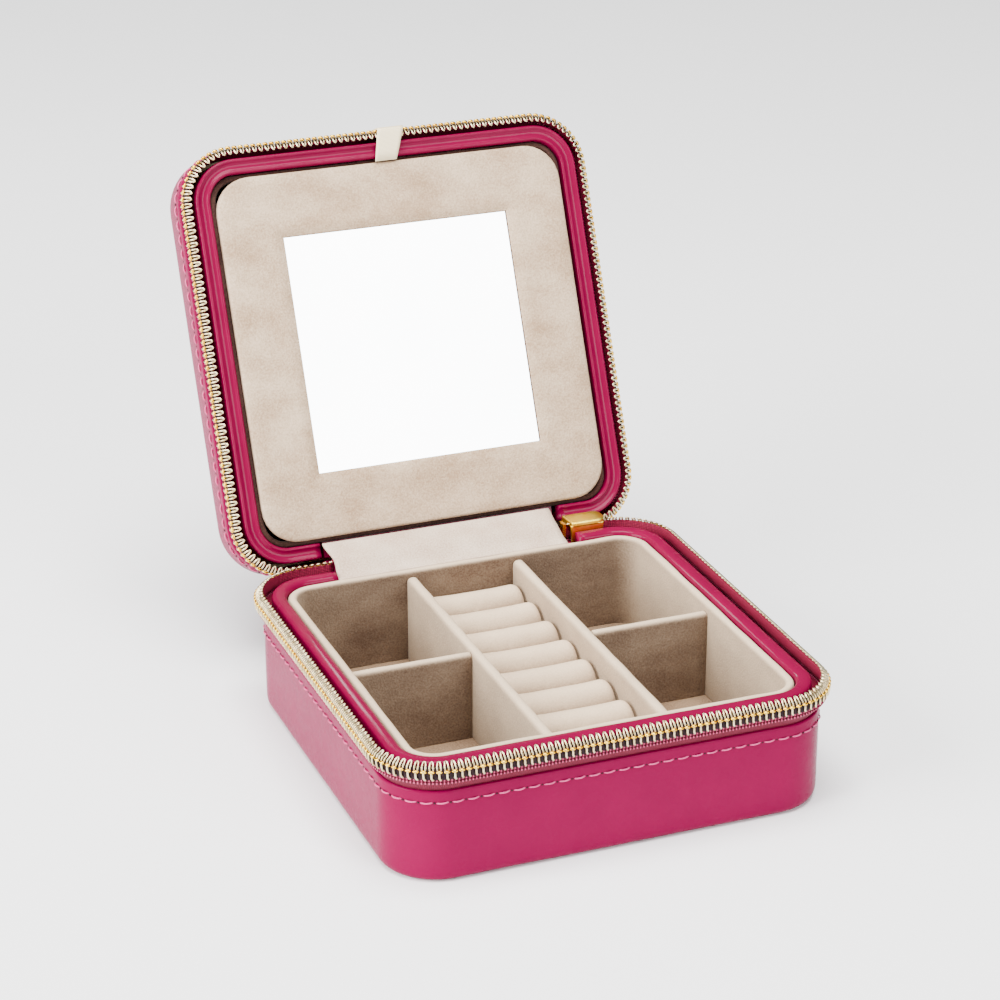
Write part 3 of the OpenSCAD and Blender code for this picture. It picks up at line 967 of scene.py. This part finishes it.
def beveled(name, outline, z0, z1, bevel, body, replaces=(), axis="Z"):
    """Gold plate cut from an outline, with bevelled edges. axis is the direction of its thickness."""
    work = bmesh.new()
    ring = [work.verts.new((p[0] * MM, p[1] * MM, z0 * MM)) for p in outline]
    face = work.faces.new(ring)
    grown = bmesh.ops.extrude_face_region(work, geom=[face])
    lifted = [g for g in grown["geom"] if isinstance(g, bmesh.types.BMVert)]
    bmesh.ops.translate(work, verts=lifted, vec=(0, 0, (z1 - z0) * MM))
    bmesh.ops.recalc_face_normals(work, faces=work.faces)
    rims = [e for e in work.edges if abs(e.verts[0].co.z - e.verts[1].co.z) < 1e-9]
    bmesh.ops.bevel(work, geom=rims, offset=bevel * MM, segments=3, profile=0.6, affect="EDGES")
    mesh = bpy.data.meshes.new(name)
    work.to_mesh(mesh)
    work.free()
    if axis == "Y":
        mesh.transform(Matrix(((1, 0, 0, 0), (0, 0, 1, 0), (0, 1, 0, 0), (0, 0, 0, 1))))
    mount(name, mesh, body, GOLD, replaces)


def slider():
    x0, x1 = SLIDER_LOW.x, SLIDER_HIGH.x
    y0, y1 = SLIDER_LOW.y, SLIDER_HIGH.y
    z0, z1 = SLIDER_LOW.z, SLIDER_HIGH.z
    plate = 0.8
    crown = rounded([(x0 + 0.9, y0), (x1, y0), (x1, y1), (x0 + 0.2, y1)], [0.4, 2.6, 2.6, 0.4], closed=True,
                    steps=8)
    beveled("slider_crown", crown, z1 - 1.9, z1, 0.5, "slider", ["slider_body"])
    for side, inner, outer in (("inner", y0, y0 + plate), ("outer", y1 - plate, y1)):
        wall = rounded([(x0 + 1.1, z0), (x1 - 1.4, z0), (x1 - 0.7, z1 - 1.0), (x0 + 0.5, z1 - 1.0)],
                       [0.5, 0.8, 0.2, 0.2], closed=True, steps=4)
        beveled(f"slider_{side}_plate", wall, inner, outer, 0.2, "slider", axis="Y")


def pull():
    """Pull that hangs on the bridge: a curled eye, and a blade that widens towards its end."""
    mid_x, mid_y = (PULL_LOW.x + PULL_HIGH.x) / 2, (PULL_LOW.y + PULL_HIGH.y) / 2
    half, eye_radius = (PULL_HIGH.x - PULL_LOW.x) / 2, (PULL_HIGH.y - PULL_LOW.y) / 2
    eye_z = PULL_HIGH.z - eye_radius
    section = ((-2.5, 0.8), (-2.5, 1.2), (-2.3, eye_radius), (2.3, eye_radius), (2.5, 1.2), (2.5, 0.8))
    eye, rows = Shape(), []
    for k in range(25):
        turn = math.tau * k / 24
        out = Vector((math.sin(turn), math.cos(turn)))
        rows.append([(mid_x + x, mid_y + out.x * r, eye_z + out.y * r) for x, r in section])
    eye.grid(rows[:-1], list(range(25)), closed_rows=True)
    build("pull_eye", eye, "pull", GOLD, ["pull_tab"])
    low, neck = PULL_LOW.z, eye_z - 1.0
    for name, inset, depth, bevel in (("blade", 0.0, 0.6, 0.2), ("face", 0.9, 0.7, 0.08)):
        top = neck if name == "blade" else neck - 3.4
        side = half - inset
        outline = [(mid_x - side, low + inset), (mid_x + side, low + inset), (mid_x + side - 0.5, neck - 5.2),
                   (mid_x + 1.7 - inset, neck - 3.4), (mid_x + 1.7 - inset, top), (mid_x - 1.7 + inset, top),
                   (mid_x - 1.7 + inset, neck - 3.4), (mid_x - side + 0.5, neck - 5.2)]
        if name == "face":
            outline = outline[:3] + outline[-1:]
        outline = rounded(outline, 1.0, closed=True)
        beveled(f"pull_{name}", outline, mid_y - depth, mid_y + depth, bevel, "pull", axis="Y")


slider()
pull()


# ---- carried-over CAD nodes ----

FINISHES = {
    "base_bottom_board": BOARD, "base_wall_board": BOARD, "lid_top_board": BOARD, "lid_wall_board": BOARD,
    "mirror_backing": BOARD, "base_hinge_board": COLLAR_PINK, "lid_hinge_board": COLLAR_PINK,
    "base_zip_end_stop": PINK, "zip_bottom_stop": TOOTH_GOLD, "lid_zip_end_stop": PINK,
    "mirror_glass": MIRROR, "slider_bridge": GOLD,
}
for node_name, finish_material in FINISHES.items():
    node_mesh = frame["nodes"][node_name].data
    node_mesh.materials.clear()
    node_mesh.materials.append(finish_material)


# ---- stage, lights and camera, in metres ----

# Name, place, power in watts and width of each lamp
LIGHTS = (("key", (-1.2, -0.1, 0.55), 48, 0.9), ("top", (-0.1, -0.2, 1.6), 75, 1.1),
          ("front", (0.45, -1.15, 0.62), 14, 0.6))
LIGHT_AIM = Vector((0, 0.02, 0.05))
CAMERA_PLACE = Vector((-0.26793, -0.65451, 0.37594))
CAMERA_AIM = Vector((0.01798, 0.06973, 0.0400))
CAMERA_LENS = 107.64                    # focal length in millimetres, on a frame 36 mm wide


def stage_and_lights():
    bpy.ops.mesh.primitive_plane_add(size=14, location=(0, 0, 0))
    floor = bpy.context.object
    floor.name = "stage_floor"
    finish = Finish("floor_paint", srgb(250, 250, 250), 0.8)
    finish.tint(finish.noise(300), srgb(248, 248, 248), srgb(251, 251, 251))
    floor.data.materials.append(finish.material)
    world = bpy.context.scene.world or bpy.data.worlds.new("World")
    bpy.context.scene.world = world
    world.use_nodes = True
    background = world.node_tree.nodes["Background"]
    background.inputs["Color"].default_value = (1, 1, 1, 1)
    background.inputs["Strength"].default_value = 0.2
    for name, place, power, size in LIGHTS:
        lamp = bpy.data.lights.new(name, "AREA")
        lamp.energy, lamp.size = power, size
        light = bpy.data.objects.new(name, lamp)
        bpy.context.scene.collection.objects.link(light)
        light.location = place
        aim = LIGHT_AIM - Vector(place)
        light.rotation_euler = aim.to_track_quat("-Z", "Y").to_euler()


def camera():
    data = bpy.data.cameras.new("camera")
    data.lens, data.sensor_width = CAMERA_LENS, 36
    item = bpy.data.objects.new("camera", data)
    bpy.context.scene.collection.objects.link(item)
    item.location = CAMERA_PLACE
    item.rotation_euler = (CAMERA_AIM - CAMERA_PLACE).to_track_quat("-Z", "Y").to_euler()
    bpy.context.scene.camera = item


stage_and_lights()
camera()
